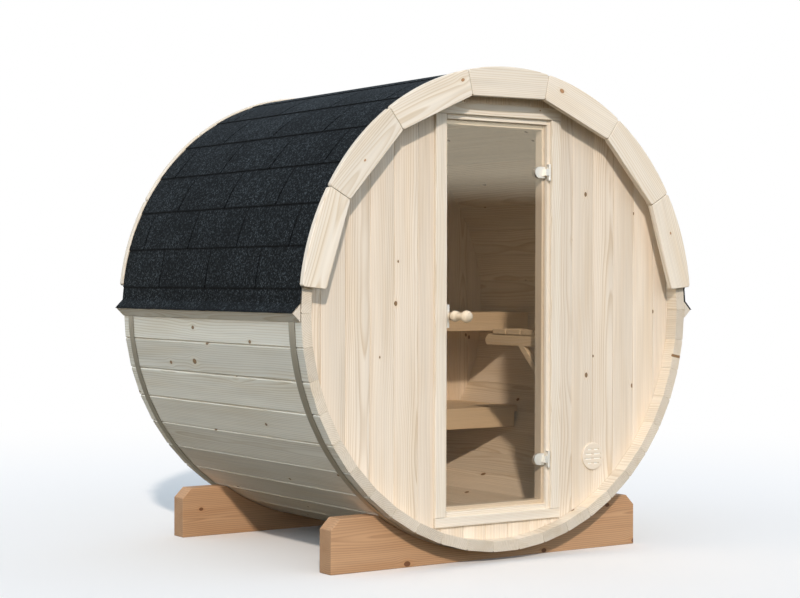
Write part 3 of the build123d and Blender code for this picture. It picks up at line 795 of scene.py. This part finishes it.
def shingleTree(material):
    # tabs in rows, first laid out flat by angle and length, then bent round the barrel and mirrored
    tree, size = newTree("shingleTabs", shingles)
    laid = ownTones(tree, size, flatTabs(tree, size, tabRows(tree, size)))
    inTab = add(tree, "GeometryNodeInputNamedAttribute", {"Name": "tabAngle"}, data_type="FLOAT")
    step = add(tree, "GeometryNodeInputNamedAttribute", {"Name": "courseStep"}, data_type="FLOAT")
    middle = middleHeight(tree, size, inTab, step)
    # the starter strip flares out over the lath
    flareTurn = add(tree, "Math", {0: size["Flare Angle"]}, "RADIANS")
    flare = add(tree, "MapRange", span(position(tree)[0], flareTurn, 0, 0, size["Flare"]))
    raised = add(tree, "Math", {0: middle, 1: flare}, "ADD")
    # the distances from the butt and to the next course's butt: the felt darkens the foot with painted shade
    # and its own bitumen edge, and paints a shadow under the next butt
    fromButt = add(tree, "Math", {0: inTab, 1: size["Radius"]}, "MULTIPLY")
    left = add(tree, "Math", {0: step, 1: inTab}, "SUBTRACT")
    toNext = add(tree, "Math", {0: left, 1: size["Radius"]}, "MULTIPLY")
    lower = add(tree, "GeometryNodeStoreNamedAttribute",
                {0: laid, "Value": fromButt, "Name": "fromButt"}, data_type="FLOAT")
    upper = add(tree, "GeometryNodeStoreNamedAttribute",
                {0: lower, "Value": toNext, "Name": "toNext"}, data_type="FLOAT")
    right = bendRound(tree, size, upper, raised)
    opposite = add(tree, "GeometryNodeTransform", {0: right, "Scale": (-1, 1, 1)})
    mirrored = add(tree, "GeometryNodeFlipFaces", {0: opposite})
    roof = add(tree, "GeometryNodeJoinGeometry", {0: right})
    tree.links.new(mirrored.outputs[0], roof.inputs[0])
    endTree(tree, roof, material)
    return tree


roofTabs = grow(shingleTree(shingleFelt), "roofShingleTabs", shingles)
settle(roofTabs, None, "root", "bitumen_shingle", "roof_shingles_right", "roof_shingles_left")

ridgePieces = {
    "Radius": roofRadius,
    "Axis Height": barrel["axisHeight"],
    "Butt Rise": 0.0072,
    "Head Rise": 0.0052,
    "Thickness": 0.002,
    "Width Angle": 12.0,
    "Piece Length": 0.25,
    "Exposure": 0.195,
    "Piece Count": 8,
    "Half Length": barrel["length"] / 2,
    "Seed": 9,
}


def ridgeTree(material):
    # strips across the top, each lapped over the next one behind it
    tree, size = newTree("ridgePieces", ridgePieces)
    front = add(tree, "Math", {0: size["Half Length"], 1: -1}, "MULTIPLY")
    firstMiddle = add(tree, "Math", {0: size["Piece Length"], 1: 0.5, 2: front}, "MULTIPLY_ADD")
    start = add(tree, "CombineXYZ", {0: math.pi / 2, 1: firstMiddle})
    stride = add(tree, "CombineXYZ", {1: size["Exposure"]})
    row = add(tree, "GeometryNodeMeshLine",
              {"Count": size["Piece Count"], "Start Location": start, "Offset": stride})
    width = add(tree, "Math", {0: size["Width Angle"]}, "RADIANS")
    extent = add(tree, "CombineXYZ", {0: width, 1: size["Piece Length"], 2: size["Thickness"]})
    slab = add(tree, "GeometryNodeMeshCube",
               {"Size": extent, "Vertices X": 17, "Vertices Y": 5, "Vertices Z": 2})
    passed = add(tree, "Math", {0: size["Piece Length"], 1: 0.5, 2: position(tree)[1]}, "MULTIPLY_ADD")
    measured = add(tree, "GeometryNodeStoreNamedAttribute",
                   {0: slab, "Value": passed, "Name": "fromButt"}, data_type="FLOAT")
    pieces = add(tree, "GeometryNodeInstanceOnPoints", {"Points": row, "Instance": measured})
    laid = ownTones(tree, size, pieces)
    fromButt = add(tree, "GeometryNodeInputNamedAttribute", {"Name": "fromButt"}, data_type="FLOAT")
    middle = middleHeight(tree, size, fromButt, size["Exposure"])
    # the distance to the next piece's butt, under which the felt paints a shadow
    toNext = add(tree, "Math", {0: size["Exposure"], 1: fromButt}, "SUBTRACT")
    upper = add(tree, "GeometryNodeStoreNamedAttribute",
                {0: laid, "Value": toNext, "Name": "toNext"}, data_type="FLOAT")
    endTree(tree, bendRound(tree, size, upper, middle), material)
    return tree


ridgeCover = grow(ridgeTree(shingleFelt), "ridgeShingles", ridgePieces)
settle(ridgeCover, None, "root", "bitumen_shingle", "ridge_shingles")
print("shingles:", len(roofTabs.data.polygons), len(ridgeCover.data.polygons))


# Plain finishes
def makePlain(name, colour, roughness, metallic=0.0):
    material, tree = newMaterial(name)
    surface = add(tree, "BsdfPrincipled",
                  {"Base Color": linear(colour), "Roughness": roughness, "Metallic": metallic, "IOR": 1.5})
    add(tree, "OutputMaterial", {0: surface})
    return material


# squareOn is the share of light that glass throws back when it is looked at square on
glass = {"tint": "#F9F6F2", "roughness": 0.015, "squareOn": 0.043}


def makeGlass():
    # toughened float glass with a light bronze tint: clear, and a sharp mirror at a slant
    material, tree = newMaterial("bronzeFloatGlass")
    clear = add(tree, "BsdfTransparent", {0: linear(glass["tint"])})
    gloss = add(tree, "BsdfGlossy", {0: linear("#FFFFFF"), "Roughness": glass["roughness"]})
    # the fifth power of the slant is the same on both faces, so the room behind the glass gets its light
    slant = add(tree, "LayerWeight", {"Blend": 0.5}).outputs["Facing"]
    rise = add(tree, "Math", {0: slant, 1: 5}, "POWER")
    share = add(tree, "Math", {0: rise, 1: 1 - glass["squareOn"], 2: glass["squareOn"]}, "MULTIPLY_ADD")
    mixed = add(tree, "MixShader", {0: share, 1: clear, 2: gloss})
    add(tree, "OutputMaterial", {0: mixed})
    return material


bronzeGlass = makeGlass()
# satin plated zinc: reflects the sky softly and takes a broad highlight
satinZinc = makePlain("satinPlatedZinc", "#F6F3EC", 0.5, 1.0)
# galvanised strap: a dull metal, light where it faces the sky and dark where it faces the ground
zincStrap = makePlain("galvanisedStrap", "#BDB6A9", 0.48, 1.0)
# moulded plastic, smooth and slightly glossy: a cream cover, and a whiter shutter inside it
ventPlastic = makePlain("mouldedVentPlastic", "#EADDCA", 0.4)
shutterPlastic = makePlain("whiteShutterPlastic", "#FFFCF4", 0.4)
for source, material, body, slotName, ease in [
    ("hinge_clamps", satinZinc, "door", "hinge_metal", 0.0005),
    ("hinge_leaves", satinZinc, "root", "hinge_metal", 0.0005),
    ("door_catch_plate", satinZinc, "door", "hinge_metal", 0.0005),
    ("vent_cover", ventPlastic, "root", "vent_plastic", 0.0006),
    ("hoop_front", zincStrap, "root", "steel_band", 0.0003),
    ("hoop_rear", zincStrap, "root", "steel_band", 0.0003),
]:
    settle(dressed(camel(source), source, ease), material, body, slotName, source)
nodes["door_glass"].data.materials.clear()
nodes["door_glass"].data.materials.append(bronzeGlass)


def turned(name, profile, centre, sides, crease=50):
    # a round closed body about a line along Y, from pairs of a place on the line and a radius, sharp
    # where its faces meet at more than crease degrees
    shape = bmesh.new()
    angles = [2 * math.pi * side / sides for side in range(sides)]
    rings = []
    for y, radius in profile:
        corners = [(centre.x + radius * math.cos(a), y, centre.z + radius * math.sin(a)) for a in angles]
        rings.append([shape.verts.new(corner) for corner in corners])
    for first, second in zip(rings, rings[1:]):
        for side in range(sides):
            after = (side + 1) % sides
            shape.faces.new((first[side], first[after], second[after], second[side]))
    shape.faces.new(rings[0][::-1])
    shape.faces.new(rings[-1])
    bmesh.ops.recalc_face_normals(shape, faces=shape.faces)
    piece = showPiece(name, shape)
    piece.data.set_sharp_from_angle(angle=math.radians(crease))
    return piece


# The knob, turned on a lathe: two balls with a waist between them, and a cap on the inner face of the glass.
# A ball's place is its distance from the glass. blend rounds the hollows where ball and waist meet.
knobShape = {
    "length": glassLow.y - knobLow.y, "nearRadius": 0.0232, "farRadius": 0.0250, "waist": 0.0150, "blend": 7,
    "nearBall": 0.019, "tip": 0.0004, "steps": 56, "sides": 40,
    "cap": 0.0160, "capEdge": 0.0025, "capSteps": 4,
}
knobShape["farBall"] = knobShape["length"] - knobShape["farRadius"]


def knobRadius(out):
    # the radius at so many metres out of the glass
    near = math.sqrt(max(knobShape["nearRadius"] ** 2 - (out - knobShape["nearBall"]) ** 2, 0))
    far = math.sqrt(max(knobShape["farRadius"] ** 2 - (out - knobShape["farBall"]) ** 2, 0))
    between = knobShape["waist"] if knobShape["nearBall"] < out < knobShape["farBall"] else 0
    power = knobShape["blend"]
    return min((near ** power + far ** power + between ** power) ** (1 / power), knobShape["farRadius"])


steps, capSteps = knobShape["steps"], knobShape["capSteps"]
places = [knobShape["length"] * (1 - math.cos(math.pi * step / steps)) / 2 for step in range(steps + 1)]
profile = [(glassLow.y - out, max(knobRadius(out), knobShape["tip"])) for out in places]
edge, cap = knobShape["capEdge"], knobShape["cap"]
turns = [math.pi / 2 * step / capSteps for step in range(capSteps + 1)]
capProfile = [(glassHigh.y, cap)]
capProfile += [(knobHigh.y - edge + edge * math.sin(t), cap - edge + edge * math.cos(t)) for t in turns]
for name, outline in [("doorKnob", profile), ("doorKnobCap", capProfile)]:
    piece = turned(name, outline, knobCentre, knobShape["sides"])
    layGrain(piece, longestSide)
    settle(piece, wood["turnedBirch"], "door", "turned_wood", "door_knob")

# A shutter stands closed inside the vent cover, a few millimetres behind the mouths of its slots
ventShutter = {"radius": 0.0445, "behind": 0.0050, "short": 0.0005, "sides": 40}
shutterPlaces = (ventLow.y + ventShutter["behind"], ventHigh.y - ventShutter["short"])
shutterProfile = [(y, ventShutter["radius"]) for y in shutterPlaces]
shutter = turned("ventShutter", shutterProfile, ventCentre, ventShutter["sides"])
settle(shutter, shutterPlastic, "root", "vent_plastic", "vent_cover")
print("fittings dressed")

# Camera, lights and floor. Angles are in degrees. A light's travel is where it goes. The sky's steps are
# pairs of a height, from 0 at the horizon to 1 overhead, and a brightness.
studio = {
    "cameraPlace": (-4.5832, -6.7067, 1.1658),
    "yaw": 34.308,
    "pitch": -0.553,
    "roll": 0.149,
    "lens": 80.93,
    "sensor": 36,
    "sunTravel": (0.445, 0.74, -0.505),
    "sunStrength": 2.25,
    "sunColour": (1.0, 0.89, 0.80),
    "sunSoftness": 2.5,
    "fillTravel": (1, 0, -0.85),
    "fillStrength": 0.78,
    "fillColour": (0.76, 0.9, 1.0),
    "fillSoftness": 34,
    "shadedPieces": [
        "leftSideStaves", "lowerLeftStaves", "upperLeftStaves", "eaveLathLeft", "hoopFront", "hoopRear"],
    "skyStrength": 2.5,
    "skySteps": [(0.092, 1), (0.11, 0.52), (0.4, 0.44), (0.9, 0.18)],
    "skyColour": (0.73, 0.87, 1.03, 1.0),
    "horizonColour": (1.25, 1.17, 0.95, 1.0),
    "horizonTop": (0.092, 0.11),
    "landColour": (0.18, 0.135, 0.09, 1.0),
    "landTop": (0.044, 0.06),
    "floorRadius": 30,
    "floorSides": 96,
    "floorFade": (1.5, 7.0),
    "floorColour": "#FDFAF6",
    "groundColour": "#4D483C",
    "mirroredGround": "#90897A",
}


def makeCamera():
    data = bpy.data.cameras.new("camera")
    data.sensor_width = studio["sensor"]
    data.lens = studio["lens"]
    camera = bpy.data.objects.new("camera", data)
    yaw, pitch, roll = (math.radians(studio[angle]) for angle in ("yaw", "pitch", "roll"))
    ahead = Vector((math.sin(yaw) * math.cos(pitch), math.cos(yaw) * math.cos(pitch), math.sin(pitch)))
    level = Vector((math.cos(yaw), -math.sin(yaw), 0))
    right = level * math.cos(roll) + level.cross(ahead) * math.sin(roll)
    turn = Matrix((right, right.cross(ahead), -ahead)).transposed().to_4x4()
    camera.matrix_world = Matrix.Translation(studio["cameraPlace"]) @ turn
    scene.collection.objects.link(camera)
    scene.camera = camera


def makeSun(name, kind, travel, linkState, pieces):
    # kind picks the strength, softness and colour; the lamp leaves the pieces out (EXCLUDE) or lights
    # nothing but them (INCLUDE)
    data = bpy.data.lights.new(name, "SUN")
    data.energy = studio[kind + "Strength"] * Vector(travel).length
    data.angle = math.radians(studio[kind + "Softness"])
    data.color = studio[kind + "Colour"]
    lamp = bpy.data.objects.new(name, data)
    lamp.rotation_euler = Vector(travel).to_track_quat("-Z", "Y").to_euler()
    scene.collection.objects.link(lamp)
    group = bpy.data.collections.new(name + "Pieces")
    for piece in pieces:
        group.objects.link(piece)
    for member in group.collection_objects:
        member.light_linking.link_state = linkState
    lamp.light_linking.receiver_collection = group


def makeSky():
    world = bpy.data.worlds.new("studio")
    scene.world = world
    world.use_nodes = True
    tree = world.node_tree
    tree.nodes.clear()
    path = add(tree, "LightPath")
    direction = add(tree, "TexCoord").outputs["Generated"]
    height = add(tree, "SeparateXYZ", {0: direction}).outputs[2]
    # dark land up to the horizon, so that the glass stays dark in its lower part, and a bright sky over it
    level = setRamp(add(tree, "ValToRGB", {0: height}), studio["skySteps"])
    upper = add(tree, "MapRange", span(height, *studio["horizonTop"], 0, 1))
    sky = add(tree, "Mix", {0: upper, 6: studio["horizonColour"], 7: studio["skyColour"]}, data_type="RGBA")
    dimmed = add(tree, "VectorMath", {0: sky.outputs[2], "Scale": level}, "SCALE")
    overLand = add(tree, "MapRange", span(height, *studio["landTop"], 0, 1))
    whole = add(tree, "Mix", {0: overLand, 6: studio["landColour"], 7: dimmed}, data_type="RGBA")
    soft = add(tree, "Background", {0: whole.outputs[2], 1: studio["skyStrength"]})
    plain = add(tree, "Background", {0: (1, 1, 1, 1), 1: 1.0})
    seen = add(tree, "MixShader", {0: path.outputs["Is Camera Ray"], 1: soft, 2: plain})
    add(tree, "OutputWorld", {0: seen})


def makeLights():
    # in the photo the left side and the roof stand in the shade: the roof has the sky alone, and the side
    # has the sun from straight ahead, which only grazes it, and a soft light from the left
    across, along, down = studio["sunTravel"]
    shaded = [bpy.data.objects[name] for name in studio["shadedPieces"]]
    makeSun("keyLight", "sun", (across, along, down), "EXCLUDE", shaded + [roofTabs, ridgeCover])
    makeSun("sideLight", "sun", (0, along, down), "INCLUDE", shaded)
    makeSun("sideFill", "fill", studio["fillTravel"], "INCLUDE", shaded)
    makeSky()


def makeFloor():
    shape = bmesh.new()
    radius, sides = studio["floorRadius"], studio["floorSides"]
    bmesh.ops.create_circle(shape, cap_ends=True, radius=radius, segments=sides)
    mesh = bpy.data.meshes.new("floor")
    shape.to_mesh(mesh)
    shape.free()
    floor = bpy.data.objects.new("floor", mesh)
    scene.collection.objects.link(floor)
    material, tree = newMaterial("paleFloor")
    place = add(tree, "TexCoord").outputs["Object"]
    away = add(tree, "VectorMath", {0: place}, "LENGTH").outputs["Value"]
    fade = add(tree, "MapRange", span(away, *studio["floorFade"], 0, 1), interpolation_type="SMOOTHSTEP")
    matt = add(tree, "BsdfDiffuse", {0: linear(studio["floorColour"])})
    white = add(tree, "Emission", {0: (1, 1, 1, 1), 1: 1.0})
    pale = add(tree, "MixShader", {0: fade, 1: matt, 2: white})
    # what it throws back on the sauna is dim, as from bare ground
    ground = add(tree, "BsdfDiffuse", {0: linear(studio["groundColour"])})
    mirrored = add(tree, "BsdfDiffuse", {0: linear(studio["mirroredGround"])})
    path = add(tree, "LightPath")
    thrown = add(tree, "MixShader", {0: path.outputs["Is Glossy Ray"], 1: ground, 2: mirrored})
    mixed = add(tree, "MixShader", {0: path.outputs["Is Camera Ray"], 1: thrown, 2: pale})
    add(tree, "OutputMaterial", {0: mixed})
    mesh.materials.append(material)


makeCamera()
makeLights()
makeFloor()
scene.view_settings.view_transform = "Standard"
print("studio ready")
